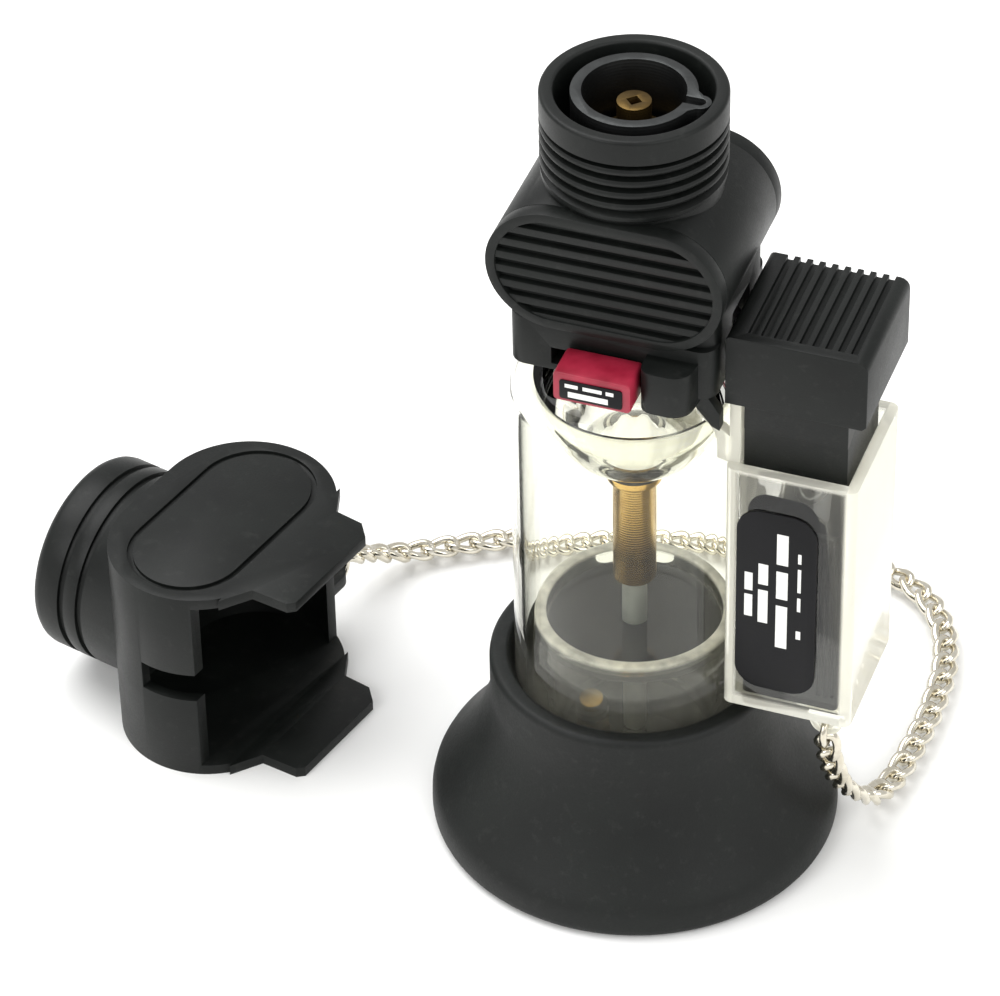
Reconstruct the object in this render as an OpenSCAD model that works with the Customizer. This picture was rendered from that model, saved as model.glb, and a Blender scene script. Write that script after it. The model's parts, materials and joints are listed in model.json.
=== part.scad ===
// Pocket butane torch: clear fuel tank and igniter case, black head with a
// flame cup, trigger igniter, push-on foot, and a cap kept on a chain.
// Millimetres. +Z is up, +X runs from the tank to the igniter case.
// The origin is the centre of the foot's underside.

/* [Tank] */
// Outer radius of the clear fuel tank
tank_r = 14; // [13.9:0.05:14]
// Wall of the clear fuel tank
tank_wall = 1.4; // [1.2:0.1:1.6]
// Height of the tank's open lower end
tank_z0 = 8; // [7.8:0.1:8.2]
// Height where the tank's shoulder starts to round over
shoulder_z = 63.2; // [62:0.2:63.6]

/* [Foot] */
// Largest radius of the foot
foot_r = 24.2; // [23:0.2:25]
// Radius of the foot's collar
collar_r = 17; // [16.6:0.1:17.4]
// Height of the foot's collar
collar_z = 24.2; // [23:0.2:25]

/* [Igniter case] */
// Depth of the clear igniter case, front to back
case_depth = 17; // [16.8:0.1:17.2]
// Height of the case's floor
case_z0 = 26.8; // [26:0.2:27]
// Height of the case's rim
case_z1 = 61.2; // [60.6:0.2:61.4]
// Right side of the case
case_x1 = 28.5; // [28.4:0.1:28.8]

/* [Head] */
// Half length of the head's oval barrel
oval_a = 13.5; // [13.4:0.1:13.6]
// Half height of the head's oval barrel
oval_r = 7.6; // [7.5:0.05:7.7]
// Distance from the head's middle to the front of a ribbed cover
oval_y = 10.7; // [10.4:0.1:10.8]
// Height of the oval barrel's centre
oval_z = 85.1; // [85:0.05:85.2]
// Outer radius of the flame cup
cup_r = 10.3; // [10:0.1:10.4]
// Height of the flame cup's rim
cup_z1 = 103.7; // [103:0.1:104]
// Ribs on each cover
cover_ribs = 7; // [5:1:7]

/* [Trigger] */
// Height of the trigger's top
trigger_z1 = 79.2; // [79:0.1:79.4]
// Grooves across the trigger's top
trigger_grooves = 9; // [6:1:9]

/* [Cap] */
// Depth of the cap, front plate to rear plate
cap_depth = 27.6; // [27:0.2:28]
// Half length of the cap's oval plates
cap_a = 15.6; // [15.5:0.1:15.8]
// Half height of the cap's oval plates
cap_r = 11; // [10.8:0.1:11.2]
// Outer radius of the cap's sleeve
sleeve_r = 12.3; // [12.2:0.1:12.5]
// Distance from the middle of the oval to the sleeve's closed end
sleeve_len = 20.8; // [20.4:0.1:21]
// Wall of the cap
cap_wall = 1.4; // [1.3:0.1:1.5]

/* [Chain] */
// Width of the curb chain, the diameter of the tube that stands for it
chain_d = 3.4; // [3:0.2:3.6]

/* [Hidden] */
$fn = 64;
EPS = 0.05;             // running clearance, and the overrun of a cut

socket_r = tank_r + 1.9;    // outside of the foot's inner socket
valve_flange_z = 50.6;  // underside of the valve's flange
recess_depth = 8.6;     // depth of the half ellipse that shapes the nut's recess
nut_z0 = 55.2;          // flat floor of the recess
nut_z1 = 64;
bowl_z = 62;            // height where the tank's sunk top starts to close in
neck_r = 9.4;           // neck that carries the head
neck_bore = 8.2;
head_z0 = 71;           // underside of the head
lever_pivot = [9.6, 0, 76];
pin_r = 0.8;            // lever pin
valve_pin_r = 1.2;
case_x0 = 13.35;
case_wall = 1.3;
case_floor = 1.4;
case_in_y = case_depth / 2 - case_wall;
case_in_x1 = case_x1 - case_wall;
duct_x1 = 14.7;         // right face of the case's raised guide wall
piezo_z1 = 47.5;        // seat of the spring in the piezo unit
plunger_z0 = 40;
trigger_z0 = 70;        // underside of the trigger's skirt
stem_z0 = 60;           // underside of the trigger's stem
cover_t = 2;            // thickness of a ribbed cover
core_y = oval_y - cover_t;
cup_z0 = 93;
electrode_x = 7.4;
cap_at = [-52.7, 2.4, cap_depth / 2];
cap_turn = 75.9;        // the cap lies on its rear plate, mouth towards the torch
eye_x = 16.6;           // hole of the cap's chain lug, in the cap's own frame
eye_y = 5.8;
eye_z = -3;
ring_r = 1.8;
ring_wire = 0.42;
lug_at = [25, -5, 24.6];    // hole of the case's chain lug

// Route of the chain, from the case's ring to the cap's ring
chain_route = [
    [25, -5, 21], [25.2, -3.6, 16.5], [25.6, -1, 11.5], [26.6, 2.2, 7],
    [27.7, 6, 3.6], [28.8, 11, 2], [29.5, 18, 1.9], [29.7, 25, 1.9],
    [29, 33, 1.9], [26.6, 40, 1.9], [21.5, 45.6, 1.9], [13, 48.6, 1.9],
    [2, 49, 1.9], [-9, 47, 1.9], [-19, 43.6, 1.9], [-28, 39.4, 1.9],
    [-35, 35.6, 1.9], [-40, 32, 2.3], [-43, 28.2, 4.2], [-44.4, 24.6, 6.6],
    [-44.8, 22.4, 7.8]];
route_steps = 3;            // rings of the tube between two route points

// Points along an arc in the plane, from angle a0 to a1 in n steps
function arc(cx, cy, r, a0, a1, n = 8) =
    [for (i = [0:n]) let (a = a0 + (a1 - a0) * i / n) [cx + r * cos(a), cy + r * sin(a)]];

// Points along a quarter of an ellipse, from the rim in to the axis side
function bowl(rx, rz, cz, a0, a1, n = 10) =
    [for (i = [0:n]) let (a = a0 + (a1 - a0) * i / n) [rx * cos(a), cz - rz * sin(a)]];

// Smooth curve through a list of points
function mix4(a, b, c, d, t) = 0.5 * (2 * b + (c - a) * t + (2 * a - 5 * b + 4 * c - d) * t * t
    + (3 * b - a - 3 * c + d) * t * t * t);
function at(p, i) = p[max(0, min(len(p) - 1, i))];
function smooth(p, steps) = concat([for (i = [0:len(p) - 2]) for (k = [0:steps - 1])
    mix4(at(p, i - 1), p[i], p[i + 1], at(p, i + 2), k / steps)], [p[len(p) - 1]]);
function unit(v) = v / norm(v);

// Closed tube swept along a list of points
module tube(points, r, sides) {
    n = len(points);
    function along(i) = unit(at(points, i + 1) - at(points, i - 1));
    function side(i) = unit(cross(along(i), [0.3, 0.2, 1]));
    rings = [for (i = [0:n - 1]) let (u = side(i), v = cross(along(i), u))
        for (k = [0:sides - 1]) points[i] + r * (cos(360 * k / sides) * u
            + sin(360 * k / sides) * v)];
    skin = [for (i = [0:n - 2]) for (k = [0:sides - 1]) let (a = i * sides + k,
        b = i * sides + (k + 1) % sides) [a, b, b + sides, a + sides]];
    polyhedron(rings, concat([[for (k = [sides - 1:-1:0]) k]], skin,
        [[for (k = [0:sides - 1]) (n - 1) * sides + k]]), convexity = 6);
}

// Oval with straight sides, a is half its length and r half its height
module stadium(a, r) {
    square([2 * (a - r), 2 * r], center = true);
    for (s = [-1, 1]) translate([s * (a - r), 0]) circle(r);
}

// Rectangle with round corners, from its lower left to its upper right
module round_rect(p0, p1, r) {
    translate([p0.x + r, p0.y]) square([p1.x - p0.x - 2 * r, p1.y - p0.y]);
    translate([p0.x, p0.y + r]) square([p1.x - p0.x, p1.y - p0.y - 2 * r]);
    for (x = [p0.x + r, p1.x - r], y = [p0.y + r, p1.y - r]) translate([x, y]) circle(r);
}

// Extrudes an XZ outline along Y, from y0 to y1
module along_y(y0, y1) {
    translate([0, y1, 0]) rotate([90, 0, 0]) linear_extrude(y1 - y0) children();
}

module block(p0, p1) {
    translate(p0) cube(p1 - p0);
}

module ring(r, wire) {
    rotate_extrude($fn = 32) translate([r, 0]) circle(wire, $fn = 16);
}

// Outside of the tank as a solid of revolution
module tank_outside(grow = 0) {
    round_r = tank_r - neck_r;
    rotate_extrude() polygon(concat([[0, tank_z0], [tank_r + grow, tank_z0]],
        arc(neck_r, shoulder_z, round_r + grow, 0, 90), [[neck_r + grow, head_z0], [0, head_z0]]));
}

module foot_stand() {
    flare = [for (i = [0:10]) let (t = i / 10)
        [collar_r + (foot_r - 0.6 - collar_r) * pow(1 - t, 1.7), 4.4 + 14.6 * t]];
    skirt_in = [for (i = [0:6]) let (t = i / 6)
        [socket_r + (foot_r - 2.6 - socket_r) * pow(1 - t, 1.7), 3 + 12 * t]];
    color("#232523") difference() {
        rotate_extrude($fn = 96) polygon(concat([[0, 0], [foot_r - 1.4, 0]],
            arc(foot_r - 1.6, 1.6, 1.6, -60, 0, 4), [[foot_r, 2.9]], flare,
            [[collar_r, collar_z - 0.8], [collar_r - 0.8, collar_z], [0, collar_z]]));
        // Socket for the tank, with a lead-in and a stop ledge
        translate([0, 0, tank_z0]) cylinder(collar_z, r = tank_r + EPS);
        translate([0, 0, collar_z - 1]) cylinder(2, r1 = tank_r + 0.1, r2 = tank_r + 2.1);
        translate([0, 0, 1.6]) cylinder(tank_z0, r = 10.5);
        // Hollow between the socket and the skirt, open below
        rotate_extrude($fn = 96) polygon(concat([[socket_r, -1], [foot_r - 2.4, -1]],
            skirt_in));
    }
}

module tank_shell() {
    inner_r = tank_r - tank_wall;
    color("#e8ecea", 0.35) difference() {
        tank_outside();
        // Fuel space, closed above by the sunk top
        rotate_extrude() polygon(concat([[0, tank_z0 - 1], [inner_r, tank_z0 - 1]],
            arc(inner_r - 1.6, shoulder_z - 0.6, 1.6, 0, 100, 5),
            bowl(10, bowl_z - valve_flange_z - 1.8, bowl_z, 0, 84), [[0, valve_flange_z + 1.8]]));
        // Recess that holds the valve nut
        rotate_extrude() polygon(concat([[0, head_z0 + 1], [neck_bore, head_z0 + 1]],
            bowl(neck_bore, recess_depth, bowl_z, 0, asin((bowl_z - nut_z0) / recess_depth)),
            [[0, nut_z0]]));
        translate([0, 0, valve_flange_z - 1]) cylinder(8, r = 2.15);
    }
}

module tank_floor() {
    inner_r = tank_r - tank_wall;
    color("#e8ecea", 0.35) difference() {
        translate([0, 0, tank_z0]) cylinder(20, r = inner_r);
        translate([0, 0, tank_z0 + 2]) cylinder(19, r = inner_r - 1.5);
        translate([-6, 0, tank_z0 - 1]) cylinder(4, r = 1.6);
        // Clearing groove for the seal ring
        translate([0, 0, tank_z0 + 3]) rotate_extrude()
            translate([inner_r, 0]) circle(0.35, $fn = 16);
    }
}

module filler_valve() {
    color("#b8954f") translate([-6, 0, 0]) difference() {
        union() {
            translate([0, 0, 4.4]) cylinder(9.6, r = 1.6);
            translate([0, 0, 10]) cylinder(1.6, r = 2.4, $fn = 6);
            translate([0, 0, 6.6]) cylinder(1.4, r = 2.4);
        }
        translate([0, 0, 4]) cylinder(5, r = 0.8);
    }
}

module filler_seal() {
    color("#1c1c1c") translate([-6, 0, 12]) difference() {
        cylinder(1, r = 2.3);
        translate([0, 0, -EPS]) cylinder(2, r = 1.6);
    }
}

module dip_tube() {
    color("#8c8f8b") translate([0, 0, 12]) difference() {
        cylinder(27, r = 1.45);
        translate([0, 0, -EPS]) cylinder(28, r = 0.85);
    }
}

module valve_body() {
    color("#b8954f") difference() {
        union() {
            translate([0, 0, 36]) cylinder(valve_flange_z - 35.8, r = 2.5);
            translate([0, 0, valve_flange_z]) cylinder(1.1, r = 3.2);
            translate([0, 0, valve_flange_z]) cylinder(10.4, r = 2.1);
        }
        translate([0, 0, 35]) cylinder(4, r = 1.45);
        translate([0, 0, 35]) cylinder(24, r = 0.7);
        translate([0, 0, 52]) cylinder(10, r = valve_pin_r + EPS);
    }
}

module valve_seal() {
    color("#1c1c1c") translate([0, 0, valve_flange_z + 1.1]) difference() {
        cylinder(0.7, r = 3.4);
        translate([0, 0, -EPS]) cylinder(1, r = 2.1);
    }
}

module valve_nut() {
    color("#dfe0dc") difference() {
        union() {
            translate([0, 0, nut_z0]) cylinder(5, r = 4.5, $fn = 6);
            translate([0, 0, nut_z0 + 5]) cylinder(nut_z1 - nut_z0 - 5, r = 4);
        }
        translate([0, 0, 54]) cylinder(7.2, r = 2.12);
        translate([0, 0, nut_z0]) cylinder(20, r = valve_pin_r + EPS);
        translate([0, 0, nut_z1 - 0.6]) cylinder(1, r = 2.2);
    }
}

module valve_pin() {
    color("#c9a55a") {
        translate([0, 0, 53]) cylinder(23, r = valve_pin_r);
        translate([0, 0, 74]) cylinder(1, r = 2.4);
    }
}

module igniter_case() {
    y1 = case_depth / 2;
    color("#e8ecea", 0.35) difference() {
        union() {
            difference() {
                translate([0, 0, case_z0]) linear_extrude(case_z1 - case_z0)
                    round_rect([case_x0, -y1], [case_x1, y1], 1);
                block([case_x0 + 1.4, -case_in_y, case_z0 + case_floor],
                    [case_in_x1, case_in_y, case_z1 + 1]);
            }
            // Raised guide wall beside the trigger, and its two webs
            block([case_x0 + 0.1, -7.2, case_z1 - 1], [duct_x1, -2.6, 69.6]);
            along_y(-7.2, -5.8) polygon([[9.6, 62], [13.6, 61], [13.6, 64.6], [9.6, 67.6]]);
            along_y(4.2, 5.6) polygon([[9.6, 60], [13.6, 59], [13.6, 61.2], [9.6, 66]]);
            // Lug for the chain
            along_y(lug_at.y - 0.8, lug_at.y + 0.8) union() {
                translate([lug_at.x, lug_at.z]) circle(1.9);
                translate([lug_at.x - 1.9, lug_at.z]) square([3.8, case_z0 - lug_at.z + 0.2]);
            }
        }
        tank_outside(0.02);
        translate(lug_at) rotate([90, 0, 0]) cylinder(4, r = 1, center = true);
    }
}

module case_label() {
    y = -case_depth / 2;
    color("#1b1b1d") along_y(y - 0.3, y) round_rect([14.9, 30.4], [24.3, 56.3], 3);
}

module case_ring() {
    color("#c9c7bd") translate(lug_at - [0, 0, ring_r]) rotate([0, 90, 0])
        ring(ring_r, ring_wire);
}

module piezo_body() {
    color("#2b2c2f") difference() {
        translate([0, 0, case_z0 + case_floor]) linear_extrude(53.4 - case_z0 - case_floor)
            round_rect([15.2, -6.9], [26.8, 4.9], 0.8);
        // Seat of the spring, and below it the plunger's guide
        translate([21.1, 0, piezo_z1]) cylinder(10, r = 5.3);
        block([17.7, -3.4, plunger_z0 - 7], [24.5, 3.4, piezo_z1 + 1]);
        // Upright grooves beside the label
        for (x = [24.5, 25.3, 26.1]) block([x - 0.2, -7.5, 30], [x + 0.2, -6.5, 52]);
    }
}

module piezo_plunger() {
    color("#d9d4c6") translate([0, 0, plunger_z0]) linear_extrude(stem_z0 - plunger_z0)
        round_rect([18.1, -3], [24.1, 3], 0.8);
}

module trigger_spring() {
    turns = 5;
    per_turn = 14;
    wire = 0.35;
    coil_r = 4.6;
    z0 = piezo_z1 + wire + EPS;
    rise = stem_z0 - piezo_z1 - 2 * (wire + EPS);
    color("#b9bbb8") tube([for (i = [0:turns * per_turn]) let (t = i / (turns * per_turn))
        [21.1 + coil_r * cos(360 * turns * t), coil_r * sin(360 * turns * t),
            z0 + rise * t]], wire, 6);
}

module trigger() {
    left = 13.1;
    right = 29.2;
    r = 1.2;
    pitch = 1.45;
    color("#262826") difference() {
        union() {
            along_y(-8.1, 8.1) polygon(concat([[left, trigger_z0], [right - 0.5, trigger_z0],
                [right, trigger_z0 + 0.5]], arc(right - r, trigger_z1 - r, r, 0, 90, 4),
                arc(left + 0.6, trigger_z1 - 0.6, 0.6, 90, 180, 3)));
            // Stem that enters the igniter case, with a shallow step
            block([15, -6.8, stem_z0], [26.9, 5.2, trigger_z0 + 1]);
            block([15, -6.95, 66], [26.9, 5.2, trigger_z0 + 1]);
        }
        // Pocket on the head's side that clears the case's guide wall
        block([left - 1, -7.5, trigger_z0 - 1], [15, 7.5, 76.6]);
        // Finger grooves, open at the back
        for (i = [0:trigger_grooves - 1])
            block([left + 2.1 + i * pitch, -6.7, trigger_z1 - 0.6],
                [left + 2.85 + i * pitch, 9, trigger_z1 + 1]);
    }
    // Cam that swings the gas lever
    color("#262826") along_y(-1.4, 1.4)
        polygon([[15.1, 70.3], [14.3, 70.3], [left, 76.7], [15.1, 76.7]]);
}

module ignition_lead() {
    color("#3a3a3a") tube(concat([[15.6, 6.1, 34]], smooth([[15.6, 6.1, 61.2], [15.2, 6.1, 62.3],
        [13.8, 6.1, 64.1], [12.7, 6.1, 65.8], [11.8, 6.1, 67.8]], route_steps),
        [[11.6, 6.1, 69.4], [11.6, 6.1, 72.5]]), 0.55, 8);
}

module gas_lever() {
    color("#b9bbb8") difference() {
        union() {
            along_y(-2.7, 2.7) polygon([[-0.8, 72.5], [6, 72.5], [8.2, 74.2], [11, 74.2],
                [12.9, 71.6], [13.5, 71.7], [13.5, 72.4], [11.3, 76.9], [9.6, 77.8],
                [8, 77], [6.6, 73.7], [-0.8, 73.7]]);
        }
        // Fork that straddles the valve pin
        block([-2, -1.55, 72], [3.2, 1.55, 74]);
        // The tail is narrower than the fork
        for (s = [-1, 1]) translate([0, s * 3.2, 0]) block([10.9, -2, 70], [15, 2, 78]);
        translate(lever_pivot) rotate([90, 0, 0]) cylinder(8, r = pin_r + EPS, center = true);
    }
}

module lever_pin() {
    color("#b9bbb8") translate(lever_pivot) rotate([90, 0, 0])
        cylinder(12, r = pin_r, center = true);
}

module head_body() {
    color("#262826") difference() {
        union() {
            translate([0, 0, oval_z]) along_y(-core_y, core_y) stadium(oval_a, oval_r);
            // Round root of the flame cup, held between the covers
            translate([0, 0, oval_z]) intersection() {
                cylinder(oval_r, r = cup_r - 0.4);
                block([-cup_r, -core_y, 0], [cup_r, core_y, oval_r]);
            }
            translate([0, 0, oval_z + oval_r])
                cylinder(cup_z0 - oval_z - oval_r, r = cup_r - 0.4);
            translate([0, 0, head_z0]) linear_extrude(oval_z - oval_r - head_z0 - 0.1)
                round_rect([-11.5, -9.6], [12.3, 9.6], 2);
            translate([0, 0, head_z0]) linear_extrude(oval_z - head_z0 - 4)
                round_rect([-11.5, -core_y], [12.3, core_y], 2);
            // Ledge beside the lock slide
            translate([0, 0, 70.4]) linear_extrude(5.4) polygon(concat([[4.7, -9]],
                arc(6.2, -11.5, 1.5, 180, 270, 4), arc(8.2, -10.8, 2.2, 270, 350, 4), [[10.6, -9]]));
            // Sloping foot that rests by the case
            along_y(-8.9, -7.5) polygon([[8.4, 71.2], [11.2, 71.2], [12.8, 68.8],
                [12.8, 66.6], [11.9, 67]]);
        }
        // Room for the gas lever, open below and towards the trigger
        block([-3.6, -3.1, head_z0 - 2], [13, 3.1, 78.4]);
        block([10.4, -3.1, head_z0 - 2], [15, 3.1, 78.4]);
        translate(lever_pivot) rotate([90, 0, 0]) cylinder(12, r = pin_r, center = true);
        translate([0, 0, 77]) cylinder(4, r = 1.7);
        translate([0, 0, 80.6]) cylinder(20, r = 4 + EPS);
        // Slot for the lock slide's tongue
        block([-6.4, -10, 71.8], [1.9, -5.9, 74]);
        // Seats of the ignition lead and the electrode
        translate([11.6, 6.1, head_z0 - 1]) cylinder(2.6, r = 0.6);
        translate([electrode_x, 0, 84]) cylinder(20, r = 0.9);
    }
}

// Ribbed oval cover, its outside facing -Y
module cover() {
    pitch = 2 * (oval_r - 1.1) / cover_ribs;
    translate([0, 0, oval_z]) difference() {
        along_y(-oval_y, -core_y) stadium(oval_a, oval_r);
        along_y(-oval_y - 1, -oval_y + 0.25) stadium(oval_a - 1.1, oval_r - 1.1);
        along_y(-oval_y - 1, -oval_y + 1.1) intersection() {
            stadium(oval_a - 1.1, oval_r - 1.1);
            for (i = [0:cover_ribs - 1])
                translate([0, (i - (cover_ribs - 1) / 2) * pitch]) square([40, 0.9], center = true);
        }
    }
}

module front_cover() {
    color("#2b2d2b") cover();
}

module rear_cover() {
    color("#2b2d2b") mirror([0, 1, 0]) cover();
}

module lock_slide() {
    color("#a3243f") {
        translate([0, -9.9, 0]) rotate([90, 0, 0]) linear_extrude(4.6)
            round_rect([-4.5, 71], [4.4, 74.8], 0.5);
        block([-3.1, -10, 72.1], [1.6, -6.2, 73.7]);
    }
}

module lock_label() {
    color("#1b1b1d") along_y(-14.7, -14.5) round_rect([-3.7, 71.5], [3.5, 74], 0.3);
}

module flame_cup() {
    rim = 1.6;
    color("#262826") difference() {
        rotate_extrude() polygon([[0, cup_z0], [cup_r - 0.4, cup_z0], [cup_r, cup_z0 + 0.3],
            [cup_r, cup_z1 - 0.4], [cup_r - 0.4, cup_z1], [0, cup_z1]]);
        translate([0, 0, cup_z0 + 1.6]) cylinder(20, r = cup_r - rim);
        translate([0, 0, cup_z0 - 1]) cylinder(4, r = 4);
        translate([electrode_x, 0, cup_z0 - 1]) cylinder(4, r = 0.9);
        for (z = [94.2, 95.6, 97, 98.2]) translate([0, 0, z]) difference() {
            cylinder(0.6, r = cup_r + 1);
            translate([0, 0, -1]) cylinder(3, r = cup_r - 0.6);
        }
    }
}

// Keyhole outline: the burner's ring with a pocket for the electrode
module keyhole(r, pocket) {
    circle(r);
    polygon([[3, -r * 0.75], [electrode_x, -pocket], [electrode_x, pocket], [3, r * 0.75]]);
    translate([electrode_x, 0]) circle(pocket);
}

module burner_shield() {
    z0 = cup_z0 + 1.6;
    color("#4a4c4a") translate([0, 0, z0]) difference() {
        linear_extrude(cup_z1 - 0.3 - z0) keyhole(6.9, 1.25);
        translate([0, 0, -1]) cylinder(20, r = 5.7);
        translate([electrode_x, 0, -1]) cylinder(20, r = 0.65);
        translate([0, 0, 4]) block([3, -0.65, 0], [electrode_x, 0.65, 20]);
    }
}

module burner_tube() {
    color("#b8954f") translate([0, 0, 82]) difference() {
        union() {
            cylinder(14.6, r = 4);
            translate([0, 0, 12.6]) cylinder(2, r = 5.1);
        }
        translate([0, 0, -1]) cylinder(20, r = 2.6);
        for (a = [0:90:270]) rotate([0, 90, a]) translate([-4, 0, 0]) cylinder(6, r = 0.9);
    }
}

module gas_jet() {
    color("#c9a55a") translate([0, 0, 80.6]) difference() {
        union() {
            cylinder(1.4, r = 4);
            cylinder(4, r = 2.2, $fn = 6);
        }
        translate([0, 0, -1]) cylinder(8, r = 0.5);
    }
}

module flame_nozzle() {
    color("#b8954f") translate([0, 0, 90]) difference() {
        union() {
            cylinder(8, r = 2.6);
            cylinder(12, r = 1.9);
            translate([0, 0, 6.6]) cylinder(1.4, r = 3.4);
        }
        translate([0, 0, -1]) cylinder(20, r = 0.9, $fn = 4);
    }
}

module electrode() {
    color("#c9c7bd") tube(concat([[electrode_x, 0, 85]],
        smooth([[electrode_x, 0, 99], [6.9, 0, 101], [5.2, 0, 101.8]], route_steps)), 0.35, 8);
}

module electrode_sleeve() {
    color("#e9e6dc") translate([electrode_x, 0, 84]) difference() {
        cylinder(10.6, r = 0.9);
        translate([0, 0, -1]) cylinder(20, r = 0.35);
    }
}

// The cap in the frame it has when worn: sleeve up, front plate towards -Y
module cap_placed() {
    translate(cap_at) rotate([0, 0, cap_turn]) rotate([-90, 0, 0]) children();
}

module cap_plate() {
    stadium(cap_a, cap_r);
    polygon([[-12.4, -8.4], [-8.6, -10.6], [-8.4, -15.4], [-7.6, -16.2], [6.6, -16.2],
        [8.4, -14.4], [8.6, -10.6], [12.4, -8.4]]);
}

module cap_shell() {
    half = cap_depth / 2;
    color("#262826") cap_placed() difference() {
        union() {
            along_y(-half, half) cap_plate();
            rotate_extrude() polygon(concat([[0, 0], [sleeve_r, 0]],
                arc(sleeve_r - 1.4, sleeve_len - 1.4, 1.4, 0, 90, 4), [[0, sleeve_len]]));
            // Lug for the chain
            along_y(eye_y - 0.8, eye_y + 0.8) union() {
                translate([eye_x, eye_z]) circle(2);
                translate([12.6, eye_z - 2]) square([eye_x - 12.6, 4]);
            }
        }
        // Room for the head's barrel, open at the mouth
        along_y(cap_wall - half, half - cap_wall) stadium(cap_a - cap_wall, cap_r - cap_wall);
        block([-20, cap_wall - half, -30], [20, half - cap_wall, -5.5]);
        // Room for the flame cup
        cylinder(sleeve_len - 1.6, r = sleeve_r - 1.5);
        // Two grooves round the sleeve
        for (z = [13.1, 15.8]) translate([0, 0, z]) difference() {
            cylinder(0.9, r = sleeve_r + 1);
            translate([0, 0, -1]) cylinder(3, r = sleeve_r - 0.5);
        }
        // Oval groove in the front plate
        along_y(-half - 1, 0.45 - half) difference() {
            stadium(14.1, 7.4);
            stadium(13.4, 6.7);
        }
        // Slot in each end wall
        block([-20, -2, -8], [-12, 2, 1.4]);
        translate([eye_x, 0, eye_z]) rotate([-90, 0, 0]) cylinder(10, r = 1);
    }
}

module cap_ring() {
    color("#c9c7bd") cap_placed() translate([eye_x + ring_r, eye_y, eye_z])
        ring(ring_r, ring_wire);
}

module chain() {
    color("#c9c7bd") tube(smooth(chain_route, route_steps), chain_d / 2, 8);
}

foot_stand();
tank_shell();
tank_floor();
filler_valve();
filler_seal();
dip_tube();
valve_body();
valve_seal();
valve_nut();
valve_pin();
igniter_case();
case_label();
case_ring();
piezo_body();
piezo_plunger();
trigger_spring();
trigger();
ignition_lead();
gas_lever();
lever_pin();
head_body();
front_cover();
rear_cover();
lock_slide();
lock_label();
flame_cup();
burner_shield();
burner_tube();
gas_jet();
flame_nozzle();
electrode();
electrode_sleeve();
cap_shell();
cap_ring();
chain();
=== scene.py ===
import json
import math

import bpy
from mathutils import Matrix, Vector

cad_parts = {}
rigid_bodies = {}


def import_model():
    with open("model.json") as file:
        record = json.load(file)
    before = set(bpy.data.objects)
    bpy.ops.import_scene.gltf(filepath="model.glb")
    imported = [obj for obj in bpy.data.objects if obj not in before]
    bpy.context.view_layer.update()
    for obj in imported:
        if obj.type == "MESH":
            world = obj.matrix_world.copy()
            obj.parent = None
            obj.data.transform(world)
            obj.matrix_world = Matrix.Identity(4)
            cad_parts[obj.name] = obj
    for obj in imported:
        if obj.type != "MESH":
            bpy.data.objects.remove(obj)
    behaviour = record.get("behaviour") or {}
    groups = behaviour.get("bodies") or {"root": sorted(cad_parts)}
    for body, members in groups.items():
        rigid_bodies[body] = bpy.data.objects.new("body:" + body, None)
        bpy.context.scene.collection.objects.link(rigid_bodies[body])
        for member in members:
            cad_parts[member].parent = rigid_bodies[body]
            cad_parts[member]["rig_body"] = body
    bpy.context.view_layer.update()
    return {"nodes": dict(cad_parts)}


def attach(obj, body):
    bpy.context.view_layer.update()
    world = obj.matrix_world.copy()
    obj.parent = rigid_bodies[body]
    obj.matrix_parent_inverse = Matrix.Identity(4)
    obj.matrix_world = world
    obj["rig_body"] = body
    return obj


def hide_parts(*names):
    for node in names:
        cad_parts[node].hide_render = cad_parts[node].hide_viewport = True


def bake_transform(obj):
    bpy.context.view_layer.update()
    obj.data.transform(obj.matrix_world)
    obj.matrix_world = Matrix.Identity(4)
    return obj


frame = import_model()
nodes = frame["nodes"]
MM = 0.001

# Camera: the torch seen from the front, a little to its right and from above
AZIMUTH = math.radians(20.39)
ELEVATION = math.radians(39.68)
ROLL = math.radians(-1.19)
DISTANCE = 583.45 * MM
AIM_RIGHT = -13.73 * MM
AIM_UP = 46.72 * MM
LENS = 184.46
SHIFT_X = -0.0141
SHIFT_Y = 0.0024

# The chain, from the igniter case's ring to the cap's ring
CHAIN_ROUTE = [
    (25, -5, 21), (25.2, -3.6, 16.5), (25.6, -1, 11.5), (26.6, 2.2, 7),
    (27.7, 6, 3.6), (28.8, 11, 2), (29.5, 18, 1.9), (29.7, 25, 1.9),
    (29, 33, 1.9), (26.6, 40, 1.9), (21.5, 45.6, 1.9), (13, 48.6, 1.9),
    (2, 49, 1.9), (-9, 47, 1.9), (-19, 43.6, 1.9), (-28, 39.4, 1.9),
    (-35, 35.6, 1.9), (-40, 32, 2.3), (-43, 28.2, 4.2), (-44.4, 24.6, 6.6),
    (-44.8, 22.4, 7.8)]
LINK_A = 2.1 * MM           # half length of a link's centre line
LINK_B = 1.16 * MM          # half width of a link's centre line
LINK_WIRE = 0.54 * MM       # radius of a link's wire
LINK_TWIST = math.radians(90)


# ---------------------------------------------------------------- helpers

def linear(code):
    """Turns an sRGB hex colour into a linear colour."""
    def channel(i):
        c = int(code[i:i + 2], 16) / 255
        return c / 12.92 if c <= 0.04045 else ((c + 0.055) / 1.055) ** 2.4
    return (channel(1), channel(3), channel(5), 1)


def add(tree, kind, inputs=None, **settings):
    """Adds a node with its settings; an input is a value or a socket to link."""
    made = tree.nodes.new(kind)
    for name, value in settings.items():
        setattr(made, name, value)
    for name, value in (inputs or {}).items():
        if isinstance(value, bpy.types.NodeSocket):
            tree.links.new(value, made.inputs[name])
        else:
            made.inputs[name].default_value = value
    return made


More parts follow.
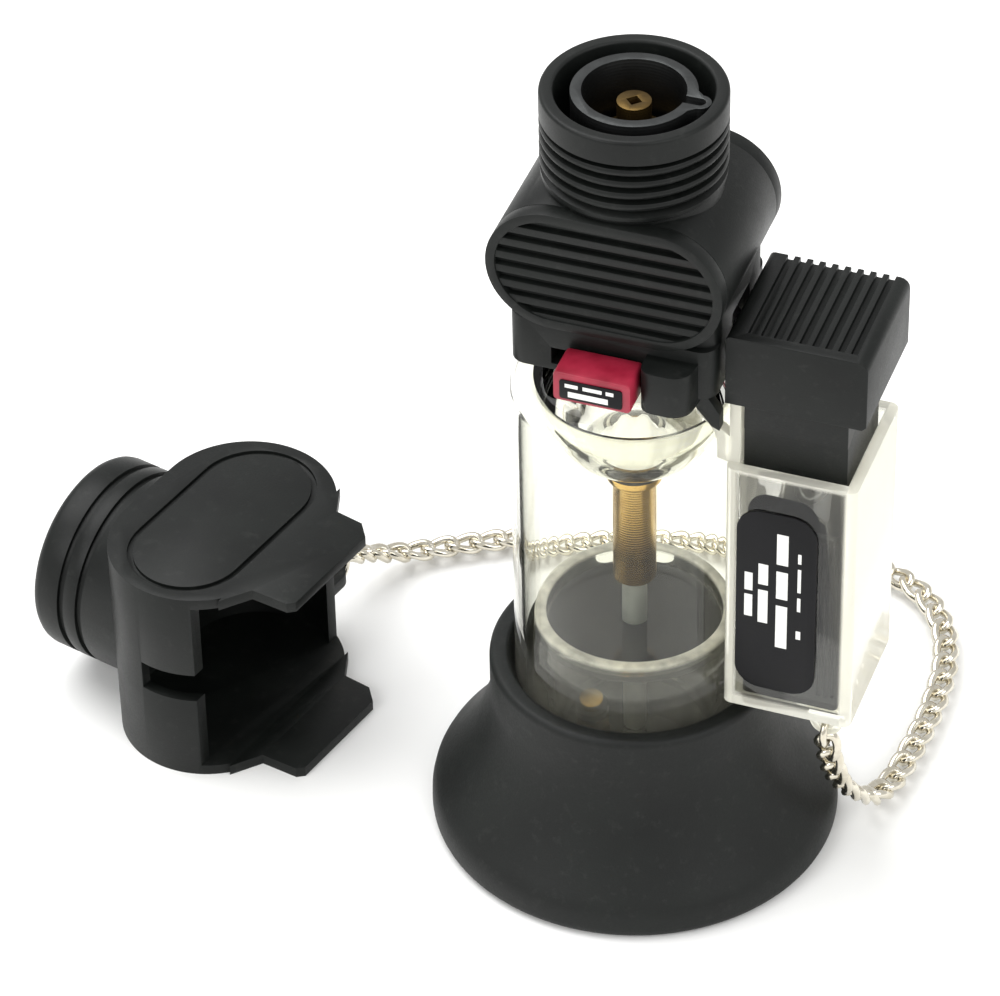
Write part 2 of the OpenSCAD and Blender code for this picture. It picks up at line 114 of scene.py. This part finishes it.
def material(name):
    """A material with an empty node tree, and the tree."""
    made = bpy.data.materials.new(name)
    made.use_nodes = True
    made.node_tree.nodes.clear()
    return made, made.node_tree


def finish_material(tree, shader):
    add(tree, "ShaderNodeOutputMaterial", {"Surface": shader})


# ---------------------------------------------------------------- materials

DUST_TINT = "#4a4b48"
CLEAR_TINT = "#fbfbf4"
# Colour of the painted shade on the floor cup's web
PAINTED_SHADE_TINT = "#343840"
# Colour of the painted glow that clear walls show where light is carried inside them
CARRIED_GLOW_TINT = "#f4f2e4"
CARRIED_LIGHT = 0.2         # glow that stands for light carried inside a clear wall
TANK_BEND = 1.3             # below styrene's 1.59, so that the nut shows through the bowl


def object_place(tree):
    return add(tree, "ShaderNodeTexCoord").outputs["Object"]


def noise(tree, size, detail=3, rough=0.5):
    """A noise value whose patches are about the given size in metres."""
    return add(tree, "ShaderNodeTexNoise", {
        "Vector": object_place(tree), "Scale": 1 / size, "Detail": detail,
        "Roughness": rough}).outputs["Fac"]


def spread(tree, value, low, high, start=0.3, end=0.7):
    """Maps a value from start..end to low..high."""
    return add(tree, "ShaderNodeMapRange", {
        "Value": value, "From Min": start, "From Max": end, "To Min": low,
        "To Max": high}).outputs["Result"]


def mix_colour(tree, factor, first, second):
    """Mixes two colours, each a colour or a socket, by a factor."""
    made = add(tree, "ShaderNodeMix", data_type="RGBA")
    for socket, value in zip((made.inputs[0], made.inputs[6], made.inputs[7]),
                             (factor, first, second)):
        if isinstance(value, bpy.types.NodeSocket):
            tree.links.new(value, socket)
        else:
            socket.default_value = value
    return made.outputs[2]


def maths(tree, a, b, operation="MULTIPLY"):
    """Joins two values, each a number or a socket, by a Math node."""
    made = add(tree, "ShaderNodeMath", operation=operation)
    for socket, value in zip(made.inputs, (a, b)):
        if isinstance(value, bpy.types.NodeSocket):
            tree.links.new(value, socket)
        else:
            socket.default_value = value
    return made.outputs[0]


def moulded_black(name, dark, light, rough, grain, depth, level=0.4):
    """Black moulded plastic: an eroded grain softens the highlight, and broad patches where
    hands have polished it are a little darker and glossier."""
    made, tree = material(name)
    handled = noise(tree, 9 * MM, 4, 0.6)
    fine = noise(tree, grain, 2, 0.6)
    dust = spread(tree, noise(tree, 1.6 * MM, 5, 0.7), 0, 0.12, 0.56, 0.74)
    colour = mix_colour(tree, spread(tree, handled, 0, 1), linear(dark), linear(light))
    colour = mix_colour(tree, dust, colour, linear(DUST_TINT))
    sheen = maths(tree, spread(tree, handled, rough - 0.07, rough + 0.05),
                  spread(tree, fine, -0.04, 0.04), "ADD")
    bump = add(tree, "ShaderNodeBump", {
        "Height": fine, "Strength": 0.35, "Distance": depth})
    shader = add(tree, "ShaderNodeBsdfPrincipled", {
        "Base Color": colour, "Roughness": sheen, "Normal": bump.outputs["Normal"],
        "Specular IOR Level": level})
    finish_material(tree, shader.outputs["BSDF"])
    return made


def clear_plastic(name, painted_glow_mask, painted_shade_mask=None, bend=1.49):
    """Clear styrene: polished, water-clear, with faint rubbed haze; painted_glow_mask(tree)
    gives where a milky painted glow stands for light carried along inside a wall,
    painted_shade_mask(tree) where a dark tint is painted shade, and bend its index of
    refraction."""
    made, tree = material(name)
    rubbed = spread(tree, noise(tree, 5 * MM, 5, 0.65), 0.0, 0.03, 0.5, 0.75)
    flow = noise(tree, 7 * MM, 1, 0.3)
    bump = add(tree, "ShaderNodeBump", {"Height": flow, "Strength": 0.15, "Distance": 0.1 * MM})
    clear = add(tree, "ShaderNodeBsdfPrincipled", {
        "Base Color": linear(CLEAR_TINT), "Roughness": rubbed, "IOR": bend,
        "Transmission Weight": 1.0, "Normal": bump.outputs["Normal"]})
    # Painted shade: a dark tint wherever the mask asks for it
    if painted_shade_mask:
        tint = mix_colour(tree, painted_shade_mask(tree), linear(CLEAR_TINT), linear(PAINTED_SHADE_TINT))
        tree.links.new(tint, clear.inputs["Base Color"])
    # The milky mix is painted light: a white glow that stands for light carried inside the wall
    painted_glow = add(tree, "ShaderNodeBsdfPrincipled", {
        "Base Color": linear(CARRIED_GLOW_TINT), "Roughness": 0.2,
        "Emission Color": linear(CARRIED_GLOW_TINT), "Emission Strength": CARRIED_LIGHT})
    both = add(tree, "ShaderNodeMixShader")
    tree.links.new(painted_glow_mask(tree), both.inputs[0])
    tree.links.new(clear.outputs[0], both.inputs[1])
    tree.links.new(painted_glow.outputs[0], both.inputs[2])
    finish_material(tree, both.outputs[0])
    return made


def place_parts(tree):
    """The x, y and z of a place on the object, in metres."""
    return add(tree, "ShaderNodeSeparateXYZ", {"Vector": object_place(tree)}).outputs


def tank_painted_glow(tree):
    """A little milky painted glow, stronger low down where the wall is doubled by the floor
    cup.
    """
    z = place_parts(tree)["Z"]
    low = spread(tree, z, 0.03, 0.0, 24 * MM, 30 * MM)
    return maths(tree, low, spread(tree, noise(tree, 4 * MM), 0.6, 1.4))


def floor_painted_glow(tree):
    """Painted glow: the floor cup's wall carries a little light and its rim much more."""
    z = place_parts(tree)["Z"]
    wall = spread(tree, z, 0.0, 0.02, 10 * MM, 13 * MM)
    rim = spread(tree, z, 0.0, 0.55, 30.7 * MM, 31.3 * MM)
    return maths(tree, maths(tree, wall, rim, "ADD"),
                 spread(tree, noise(tree, 3 * MM), 0.6, 1.4))


def floor_painted_shade(tree):
    """Painted shade: a dark tint across the floor cup's web, from its centre out to the wall.
    """
    x, y, z = place_parts(tree)
    across = maths(tree, maths(tree, x, x), maths(tree, y, y), "ADD")
    inside = spread(tree, across, 1, 0, (9.9 * MM) ** 2, (10.2 * MM) ** 2)
    height = maths(tree, spread(tree, z, 0, 1, 28.3 * MM, 28.5 * MM),
                   spread(tree, z, 1, 0, 29.6 * MM, 29.8 * MM))
    return maths(tree, inside, height)


def case_painted_glow(tree):
    """Painted glow where the case's right and left walls and its floor are seen through their
    length, and on its rim.
    """
    x, _, z = place_parts(tree)
    right = spread(tree, x, 0.0, 0.55, 27.0 * MM, 27.4 * MM)
    left = spread(tree, x, 0.4, 0.0, 14.5 * MM, 14.9 * MM)
    floor = spread(tree, z, 0.35, 0.0, 28.0 * MM, 28.5 * MM)
    rim = spread(tree, z, 0.0, 0.4, 60.6 * MM, 61.0 * MM)
    most = maths(tree, maths(tree, right, left, "MAXIMUM"), maths(tree, floor, rim, "MAXIMUM"),
                 "MAXIMUM")
    return maths(tree, most, spread(tree, noise(tree, 14 * MM, 1), 0.94, 1.06))


def turned_metal(name, bright, dull, rough, ring):
    """Turned metal: fine tool rings along its length and patches of tarnish."""
    made, tree = material(name)
    tarnish = noise(tree, 3 * MM, 5, 0.65)
    z = place_parts(tree)["Z"]
    rings = maths(tree, maths(tree, z, 2 * math.pi / ring), 0, "SINE")
    colour = mix_colour(tree, spread(tree, tarnish, 0, 1, 0.3, 0.8), linear(bright),
                        linear(dull))
    bump = add(tree, "ShaderNodeBump", {
        "Height": rings, "Strength": 0.12, "Distance": 0.03 * MM})
    shader = add(tree, "ShaderNodeBsdfPrincipled", {
        "Base Color": colour, "Metallic": 1.0,
        "Roughness": spread(tree, tarnish, rough, rough + 0.12),
        "Normal": bump.outputs["Normal"]})
    finish_material(tree, shader.outputs["BSDF"])
    return made


def glossy_plastic(name, dark, light, rough, patch, glow=0.0, level=0.5):
    """Glossy moulding with faint colour drift and a soft orange-peel surface; glow is a painted
    glow that stands for the light a translucent white one passes on."""
    made, tree = material(name)
    drift = noise(tree, patch, 3)
    peel = noise(tree, 0.5 * MM, 1)
    bump = add(tree, "ShaderNodeBump", {
        "Height": peel, "Strength": 0.15, "Distance": 0.04 * MM})
    shader = add(tree, "ShaderNodeBsdfPrincipled", {
        "Specular IOR Level": level,
        "Base Color": mix_colour(tree, spread(tree, drift, 0, 1), linear(dark), linear(light)),
        "Roughness": spread(tree, drift, rough, rough + 0.12),
        "Normal": bump.outputs["Normal"], "Emission Color": linear(light),
        "Emission Strength": glow})
    finish_material(tree, shader.outputs["BSDF"])
    return made


# Moulded ABS and rubber: soft, broad highlights on near black
BLACK = moulded_black("black_abs_moulded", "#0a0c0b", "#131614", 0.46, 0.22 * MM,
                      0.03 * MM, 0.24)
FOOT_BLACK = moulded_black("black_foot_rubber", "#0d0f0e", "#151816", 0.55, 0.3 * MM,
                           0.05 * MM, 0.26)
DARK_RUBBER = moulded_black("seal_rubber_black", "#0c0c0c", "#151515", 0.5, 0.3 * MM,
                            0.02 * MM)
PIEZO_BLACK = moulded_black("piezo_housing_black", "#08090c", "#0f1014", 0.4, 0.3 * MM,
                            0.02 * MM, 0.2)

# Polished clear styrene: sharp reflections, and a milky painted glow on edges and on walls seen
# along their length
TANK_CLEAR = clear_plastic("tank_clear_styrene", tank_painted_glow, bend=TANK_BEND)
FLOOR_CLEAR = clear_plastic("floor_cup_clear_styrene", floor_painted_glow, floor_painted_shade)
CASE_CLEAR = clear_plastic("case_clear_styrene", case_painted_glow)

# Turned, drawn and plated metal: fine rings, and tarnish that dulls the shine in patches
BRASS = turned_metal("brass_turned", "#e2bf74", "#c29a55", 0.16, 0.35 * MM)
STEEL = turned_metal("steel_drawn", "#b9bbb8", "#8f918e", 0.25, 0.5 * MM)
NOZZLE = turned_metal("brass_heated", "#6f5a34", "#463820", 0.35, 0.35 * MM)
NICKEL = turned_metal("nickel_plated_wire", "#ece7da", "#bdb5a0", 0.12, 0.9 * MM)
BURNER = turned_metal("burner_steel_heated", "#505252", "#383939", 0.35, 0.4 * MM)

# Gloss mouldings, film and glaze: even colour under a smooth skin
RED = glossy_plastic("red_lock_moulded", "#86152b", "#a3233c", 0.32, 3 * MM)
# The nut's glow is painted light, which keeps it bright in the shade under the head
WHITE = glossy_plastic("white_nut_moulded", "#e4e3da", "#f4f3ea", 0.12, 3 * MM, glow=0.6)
CREAM = glossy_plastic("cream_plunger_moulded", "#cfc9b8", "#dcd7c9", 0.4, 3 * MM)
GREY_TUBE = glossy_plastic("grey_tube_extruded", "#7d807c", "#979a95", 0.35, 4 * MM)
FILM = glossy_plastic("label_film_black", "#0a0a0c", "#111114", 0.32, 5 * MM, level=0.18)
PRINT = glossy_plastic("label_print_white", "#e2e2de", "#f0f0ec", 0.4, 1 * MM)
CERAMIC = glossy_plastic("white_ceramic_glazed", "#dcd8cc", "#ece9df", 0.3, 2 * MM)

LOOKS = {
    "foot_stand": FOOT_BLACK, "tank_shell": TANK_CLEAR, "tank_floor": FLOOR_CLEAR,
    "igniter_case": CASE_CLEAR, "valve_nut": WHITE, "dip_tube": GREY_TUBE,
    "lock_slide": RED, "case_label": FILM, "lock_label": FILM, "burner_shield": BURNER,
    "piezo_body": PIEZO_BLACK, "filler_seal": DARK_RUBBER, "valve_seal": DARK_RUBBER,
    "piezo_plunger": CREAM, "electrode_sleeve": CERAMIC}
for name in ("trigger", "head_body", "front_cover", "rear_cover", "flame_cup", "cap_shell",
             "ignition_lead"):
    LOOKS[name] = BLACK
for name in ("valve_body", "filler_valve", "valve_pin", "gas_jet"):
    LOOKS[name] = BRASS
for name in ("burner_tube", "flame_nozzle"):
    LOOKS[name] = NOZZLE
for name in ("gas_lever", "lever_pin", "trigger_spring", "electrode"):
    LOOKS[name] = STEEL
for name in ("case_ring", "cap_ring", "chain"):
    LOOKS[name] = NICKEL
for name, piece in nodes.items():
    for place in piece.material_slots:
        place.material = LOOKS[name]


# ---------------------------------------------------------------- modelling helpers

CAD_MERGE = 0.002 * MM       # closer points of a CAD copy are one
SPUN_MERGE = 0.0005 * MM     # closer points of a spun piece are one


def only(piece):
    """Makes the piece the only one selected and active."""
    bpy.ops.object.select_all(action="DESELECT")
    piece.select_set(True)
    bpy.context.view_layer.objects.active = piece


def apply_all(piece):
    """Applies the piece's modifiers in turn."""
    only(piece)
    for modifier in list(piece.modifiers):
        bpy.ops.object.modifier_apply(modifier=modifier.name)


def stands_for(piece, node):
    """The finished piece takes a CAD node's body and material, and hides the node."""
    piece.data.materials.clear()
    piece.data.materials.append(LOOKS[node])
    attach(piece, nodes[node]["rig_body"])
    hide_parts(node)


def moulded(node, edge):
    """A copy of a CAD node, its triangles joined and its edges rounded by edge."""
    piece = bpy.data.objects.new(node + "_moulded", nodes[node].data.copy())
    bpy.context.collection.objects.link(piece)
    only(piece)
    if piece.data.has_custom_normals:
        bpy.ops.mesh.customdata_custom_splitnormals_clear()
    bpy.ops.object.mode_set(mode="EDIT")
    bpy.ops.mesh.select_all(action="SELECT")
    bpy.ops.mesh.remove_doubles(threshold=CAD_MERGE)
    bpy.ops.mesh.dissolve_limited(angle_limit=math.radians(0.6))
    bpy.ops.object.mode_set(mode="OBJECT")
    rounding = piece.modifiers.new("edges", "BEVEL")
    rounding.width = edge
    rounding.segments = 2
    rounding.limit_method = "ANGLE"
    rounding.angle_limit = math.radians(30)
    rounding.miter_outer = "MITER_ARC"
    apply_all(piece)
    only(piece)
    bpy.ops.object.shade_smooth_by_angle(angle=math.radians(28))
    stands_for(piece, node)


def spun(name, profile, steps=128):
    """A body of revolution about Z: a vertex is drawn round the closed profile, then spun."""
    bpy.ops.object.select_all(action="DESELECT")
    bpy.ops.mesh.primitive_plane_add(size=MM)
    piece = bpy.context.object
    piece.name = name
    bpy.ops.object.mode_set(mode="EDIT")
    bpy.ops.mesh.select_all(action="SELECT")
    bpy.ops.mesh.merge(type="CENTER")
    points = [Vector((r, 0, z)) * MM for r, z in profile]
    bpy.ops.transform.translate(value=points[0])
    for a, b in zip(points, points[1:] + points[:1]):
        bpy.ops.mesh.extrude_region_move(TRANSFORM_OT_translate={"value": b - a})
    bpy.ops.mesh.select_all(action="SELECT")
    bpy.ops.mesh.remove_doubles(threshold=SPUN_MERGE)
    bpy.ops.mesh.select_all(action="SELECT")
    bpy.ops.mesh.spin(steps=steps, angle=2 * math.pi, center=(0, 0, 0), axis=(0, 0, 1))
    bpy.ops.mesh.select_all(action="SELECT")
    bpy.ops.mesh.remove_doubles(threshold=SPUN_MERGE)
    bpy.ops.mesh.select_all(action="SELECT")
    bpy.ops.mesh.normals_make_consistent(inside=False)
    bpy.ops.object.mode_set(mode="OBJECT")
    bpy.ops.object.shade_smooth_by_angle(angle=math.radians(35))
    return piece


def join(pieces, name, look):
    """Joins the pieces into the first of them, with one name and one material."""
    bpy.ops.object.select_all(action="DESELECT")
    for piece in pieces:
        piece.select_set(True)
    bpy.context.view_layer.objects.active = pieces[0]
    bpy.ops.object.join()
    pieces[0].name = name
    pieces[0].data.materials.clear()
    pieces[0].data.materials.append(look)


def arc(cx, cz, r, start, end, steps):
    """Profile points along an arc, angles in degrees."""
    angles = [math.radians(start + (end - start) * i / steps) for i in range(steps + 1)]
    return [(cx + r * math.cos(a), cz + r * math.sin(a)) for a in angles]


def half_ellipse(rx, rz, cz, last, steps=14):
    """Profile points down a half ellipse, from its rim in to the angle last in degrees."""
    angles = [math.radians(last * i / steps) for i in range(steps + 1)]
    return [(rx * math.cos(a), cz - rz * math.sin(a)) for a in angles]


# ---------------------------------------------------------------- chain

def spline_point(points, i, t):
    """A point on a smooth curve through the points, t from 0 to 1 after point i."""
    last = len(points) - 1
    a, b, c, d = (points[max(0, min(last, i + k))] for k in (-1, 0, 1, 2))
    return 0.5 * (2 * b + (c - a) * t + (2 * a - 5 * b + 4 * c - d) * t * t
                  + (3 * b - a - 3 * c + d) * t ** 3)


def smooth_line(points, steps):
    """The smooth curve through the points, as a line with steps parts between two of them."""
    line = [spline_point(points, i, k / steps)
            for i in range(len(points) - 1) for k in range(steps)]
    return line + [points[-1]]


def line_length(line):
    return sum((b - a).length for a, b in zip(line, line[1:]))


def place_on(line, distance):
    """Point and direction at a distance along a line, straight on past its far end."""
    for a, b in zip(line, line[1:]):
        step = (b - a).length
        if distance <= step or b is line[-1]:
            along = (b - a).normalized()
            return a + along * distance, along
        distance -= step


def curb_link():
    """One link of the curb chain: an oval of wire, twisted a quarter turn."""
    bpy.ops.object.select_all(action="DESELECT")
    bpy.ops.curve.primitive_bezier_circle_add(radius=LINK_A)
    link = bpy.context.object
    bpy.ops.object.mode_set(mode="EDIT")
    bpy.ops.transform.resize(value=(1, LINK_B / LINK_A, 1))
    bpy.ops.object.mode_set(mode="OBJECT")
    link.data.resolution_u = 6
    link.data.bevel_depth = LINK_WIRE
    link.data.bevel_resolution = 2
    bpy.ops.object.convert(target="MESH")
    link = bpy.context.object
    twist = link.modifiers.new("twist", "SIMPLE_DEFORM")
    twist.deform_method = "TWIST"
    twist.deform_axis = "X"
    twist.angle = LINK_TWIST
    apply_all(link)
    bpy.ops.object.shade_smooth()
    return link


def make_chain():
    """The chain: links set along its route, each turned to lie flat across it."""
    line = smooth_line([Vector(p) * MM for p in CHAIN_ROUTE], 8)
    length = line_length(line)
    first = 1.0 * MM
    gaps = round((length - first) / (2 * LINK_A - 2 * LINK_WIRE))
    pitch = (length - first) / gaps
    link = curb_link()
    copies = [link]
    for k in range(gaps):
        copy = link.copy()
        copy.data = link.data.copy()
        bpy.context.collection.objects.link(copy)
        copies.append(copy)
    for k, copy in enumerate(copies):
        centre, along = place_on(line, first + k * pitch)
        side = along.cross(Vector((0, 0, 1))).normalized()
        over = along.cross(side)
        turn = Matrix((along, side, over)).transposed().to_4x4()
        copy.data.transform(Matrix.Translation(centre) @ turn)
    join(copies, "curb_chain", NICKEL)
    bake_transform(link)
    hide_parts("chain")


make_chain()


# ---------------------------------------------------------------- pieces

# Heights and radii in mm that several outlines share
TANK_FOOT_Z = 8
TANK_R = 14
TANK_BORE = 12.6
NECK_R = 9.4
NECK_BORE = 8.2
BOWL_Z = 62                 # widest height of the sunk top
STEM_HOLE = 2.15
TUBE_HOLE = 1.6
VALVE_HOLE = 2.14           # the nut's bore for the valve body
PIN_HOLE = 1.25
CUP_R = 10.3
NUT_STEPS = 48              # four steps to each flute


def make_foot():
    """The foot: a waisted skirt with a rolled lip, round the socket that holds the tank."""
    flare = [(17 + 6.6 * (1 - t / 16) ** 1.7, 4.6 + 14.4 * t / 16) for t in range(17)]
    inside = [(15.9 + 5.7 * (1 - t / 8) ** 1.7, 3 + 12 * t / 8) for t in range(9)]
    profile = ([(0.02, 0), (15.9, 0)] + inside[::-1] + [(21.6, 0.6), (22.2, 0)]
               + arc(22.7, 1.5, 1.5, -90, 0, 6) + [(24.15, 3), (23.95, 3.9)] + flare
               + [(17, 21.6), (17, 23.2)] + arc(16.2, 23.4, 0.8, 0, 90, 5)
               + arc(15.2, 23.7, 0.5, 90, 150, 3) + [(14.05, 22.4), (14.05, 8), (10.5, 8),
                                                      (10.5, 1.6), (0.02, 1.6)])
    foot = spun("foot_flared", profile, 160)
    stands_for(foot, "foot_stand")


def make_flame_cup():
    """The flame cup: a smooth band over turned ridges, hollow round the burner."""
    ridges = []
    for k in range(4):
        z = 94.2 + 1.5 * k
        ridges += [(9.45, z), (9.45, z + 0.45), (10.15, z + 0.6), (CUP_R, z + 0.85),
                   (CUP_R, z + 1.1), (10.15, z + 1.35)]
    profile = ([(4, 93), (9.9, 93), (10.2, 93.3), (10.2, 93.8)] + ridges
               + [(9.45, 100.2), (9.45, 100.5), (CUP_R, 100.7)]
               + arc(9.85, 103.25, 0.45, 0, 90, 5) + arc(9.1, 103.3, 0.4, 90, 180, 4)
               + [(8.7, 94.9)] + arc(8.4, 94.9, 0.3, 0, -90, 3) + [(4, 94.6)])
    cup = spun("flame_cup_turned", profile, 128)
    stands_for(cup, "flame_cup")


def make_tank():
    """The clear tank: a round shoulder, and a top that sinks in as a bowl for the nut."""
    outside = ([(TANK_BORE, TANK_FOOT_Z), (13.7, TANK_FOOT_Z), (TANK_R, 8.3)]
               + arc(NECK_R, 63.2, 4.6, 0, 90, 14))
    neck = [(NECK_R, 70.8), (9.2, 71), (8.4, 71), (NECK_BORE, 70.8)]
    recess = half_ellipse(NECK_BORE, 8.6, BOWL_Z, 52.2) + [(STEM_HOLE, 55.2), (STEM_HOLE, 52.4)]
    bowl = half_ellipse(10, 9.6, BOWL_Z, 77)[::-1]
    tank = spun("tank_clear", outside + neck + recess + bowl
                + arc(11, 62.6, 1.6, 100, 0, 10), 160)
    stands_for(tank, "tank_shell")


def make_floor_cup():
    """The clear cup in the tank's lower end: a rim with a painted glow, and a web darkened with
    painted shade, with a hole for the dip tube. The CAD node has no web, a rim at 28 and its
    base hole at the filler."""
    profile = ([(TUBE_HOLE, TANK_FOOT_Z), (12.3, TANK_FOOT_Z), (TANK_BORE, 8.3),
                (TANK_BORE, 12.6)]
               + arc(11.2, 31, 0.4, 0, 80, 4) + arc(10.5, 31.1, 0.3, 100, 180, 3)
               + [(10.2, 29.4), (TUBE_HOLE, 29.4), (TUBE_HOLE, 28.6), (10.3, 28.6),
                  (10.9, 12), (10.5, 10.4), (10, 10), (TUBE_HOLE, 10)])
    cup = spun("floor_cup_clear", profile, 128)
    stands_for(cup, "tank_floor")


def make_nut():
    """The white valve nut: a fluted crown, bored for the valve and its pin. It is wider than
    the CAD node, and fluted where that has a hexagon."""
    profile = [(VALVE_HOLE, 55.2), (4.7, 55.2), (5.9, 56.9), (6.3, 57.8), (6.2, 62.1),
               (5.8, 62.7), (4.2, 62.9), (3.9, 63.9), (2.3, 63.9), (2.2, 63.4),
               (PIN_HOLE, 63.4), (PIN_HOLE, 61.2), (VALVE_HOLE, 61.2)]
    nut = spun("valve_nut_fluted", profile, NUT_STEPS)
    for vertex in nut.data.vertices:
        across = math.hypot(vertex.co.x, vertex.co.y)
        turn = round(math.atan2(vertex.co.y, vertex.co.x) / (2 * math.pi) * NUT_STEPS)
        if across > 5.6 * MM and turn % 4 > 1:
            vertex.co.x *= 0.92
            vertex.co.y *= 0.92
    stands_for(nut, "valve_nut")


def make_spring():
    """The trigger's return spring, a copy of the CAD node with its wire rounded."""
    spring = bpy.data.objects.new("return_spring", nodes["trigger_spring"].data.copy())
    bpy.context.collection.objects.link(spring)
    only(spring)
    bpy.ops.object.mode_set(mode="EDIT")
    bpy.ops.mesh.select_all(action="SELECT")
    bpy.ops.mesh.remove_doubles(threshold=CAD_MERGE)
    bpy.ops.object.mode_set(mode="OBJECT")
    rounding = spring.modifiers.new("round_wire", "SUBSURF")
    rounding.levels = rounding.render_levels = 1
    apply_all(spring)
    bpy.ops.object.shade_smooth()
    spring.data.materials.clear()
    spring.data.materials.append(STEEL)
    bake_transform(spring)
    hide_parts("trigger_spring")


def print_marks(name, node, marks, y):
    """Plain printed bars, each (x, z, width, height) in mm, proud of a label by a hair."""
    bars = []
    for x, z, width, height in marks:
        bpy.ops.object.select_all(action="DESELECT")
        bpy.ops.mesh.primitive_cube_add(size=MM)
        bar = bpy.context.object
        bpy.ops.object.mode_set(mode="EDIT")
        bpy.ops.mesh.select_all(action="SELECT")
        bpy.ops.transform.resize(value=(width, 0.06, height))
        bpy.ops.transform.translate(value=(x * MM, y * MM, z * MM))
        bpy.ops.mesh.bevel(offset=0.02 * MM, segments=1, affect="EDGES")
        bpy.ops.object.mode_set(mode="OBJECT")
        bars.append(bar)
    join(bars, name, PRINT)
    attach(bars[0], nodes[node]["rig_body"])


def make_print():
    """Bars stand for the lines of print on both labels."""
    columns = [(16.4, 45.9, 0.95, 2.6), (16.4, 42.4, 0.95, 3.2),
               (18.1, 47.3, 1.15, 3.0), (18.1, 42.6, 1.15, 4.8),
               (20.3, 51.4, 1.35, 4.4), (20.3, 46.2, 1.35, 4.0), (20.3, 40.1, 1.35, 6.2),
               (22.3, 50.6, 0.4, 1.4), (22.3, 47.4, 0.4, 3.4), (22.3, 43.9, 0.4, 2.0),
               (22.3, 39.4, 0.55, 1.2)]
    print_marks("case_label_print", "case_label", columns, -8.8)
    print_marks("lock_label_print", "lock_label",
                [(-2.3, 73.35, 1.5, 0.5), (0.1, 73.35, 2.2, 0.5), (2.1, 73.35, 0.9, 0.5),
                 (-0.4, 72.2, 4.6, 0.75)], -14.7)


make_foot()
make_flame_cup()
make_tank()
make_floor_cup()
make_nut()
make_spring()
make_print()
for name, edge in (("head_body", 0.35), ("front_cover", 0.22), ("rear_cover", 0.22),
                   ("trigger", 0.22), ("cap_shell", 0.25), ("burner_shield", 0.15),
                   ("lock_slide", 0.2), ("igniter_case", 0.2), ("valve_body", 0.1),
                   ("flame_nozzle", 0.15), ("piezo_body", 0.15), ("case_label", 0.06),
                   ("lock_label", 0.04)):
    moulded(name, edge * MM)


# ---------------------------------------------------------------- camera, light, floor

def make_camera():
    """The camera, turned by its azimuth and elevation and rolled a little."""
    right = Vector((math.cos(AZIMUTH), math.sin(AZIMUTH), 0))
    back = Vector((math.sin(AZIMUTH) * math.cos(ELEVATION),
                   -math.cos(AZIMUTH) * math.cos(ELEVATION), math.sin(ELEVATION)))
    up = back.cross(right)
    x = math.cos(ROLL) * right + math.sin(ROLL) * up
    y = math.cos(ROLL) * up - math.sin(ROLL) * right
    data = bpy.data.cameras.new("camera")
    data.sensor_width = 36
    data.lens = LENS
    data.shift_x = SHIFT_X
    data.shift_y = SHIFT_Y
    data.clip_start = 0.01
    camera = bpy.data.objects.new("camera", data)
    aim = AIM_RIGHT * right + Vector((0, 0, AIM_UP))
    camera.matrix_world = Matrix.Translation(aim + DISTANCE * back) @ Matrix(
        (x, y, back)).transposed().to_4x4()
    bpy.context.collection.objects.link(camera)
    bpy.context.scene.camera = camera


def area_light(name, place, aim, size, power):
    """A round area light at a place, aimed at a point; size in metres, power in watts."""
    data = bpy.data.lights.new(name, "AREA")
    data.shape = "DISK"
    data.size = size
    data.energy = power
    lamp = bpy.data.objects.new(name, data)
    lamp.location = place
    lamp.rotation_euler = (Vector(place) - Vector(aim)).to_track_quat("Z", "Y").to_euler()
    bpy.context.collection.objects.link(lamp)


def make_studio():
    """Matt white paper under a white surround, lit by three broad lights."""
    bpy.ops.object.select_all(action="DESELECT")
    bpy.ops.mesh.primitive_plane_add(size=6)
    floor = bpy.context.object
    floor.name = "floor"
    floor.data.materials.append(
        glossy_plastic("studio_paper_matt", "#f4f4f2", "#f8f8f7", 0.8, 60 * MM))
    world = bpy.data.worlds.new("studio")
    bpy.context.scene.world = world
    world.use_nodes = True
    world.node_tree.nodes["Background"].inputs["Color"].default_value = (1, 1, 1, 1)
    world.node_tree.nodes["Background"].inputs["Strength"].default_value = 0.72
    area_light("key", (-0.4, 0.1, 0.9), (0, 0, 0.04), 0.9, 8)
    area_light("front", (-0.45, -0.8, 0.7), (0, 0, 0.05), 0.6, 3.5)
    area_light("fill", (0.7, -0.3, 0.7), (0, 0, 0.04), 0.9, 4)
    bpy.context.scene.view_settings.view_transform = "Standard"


make_camera()
make_studio()
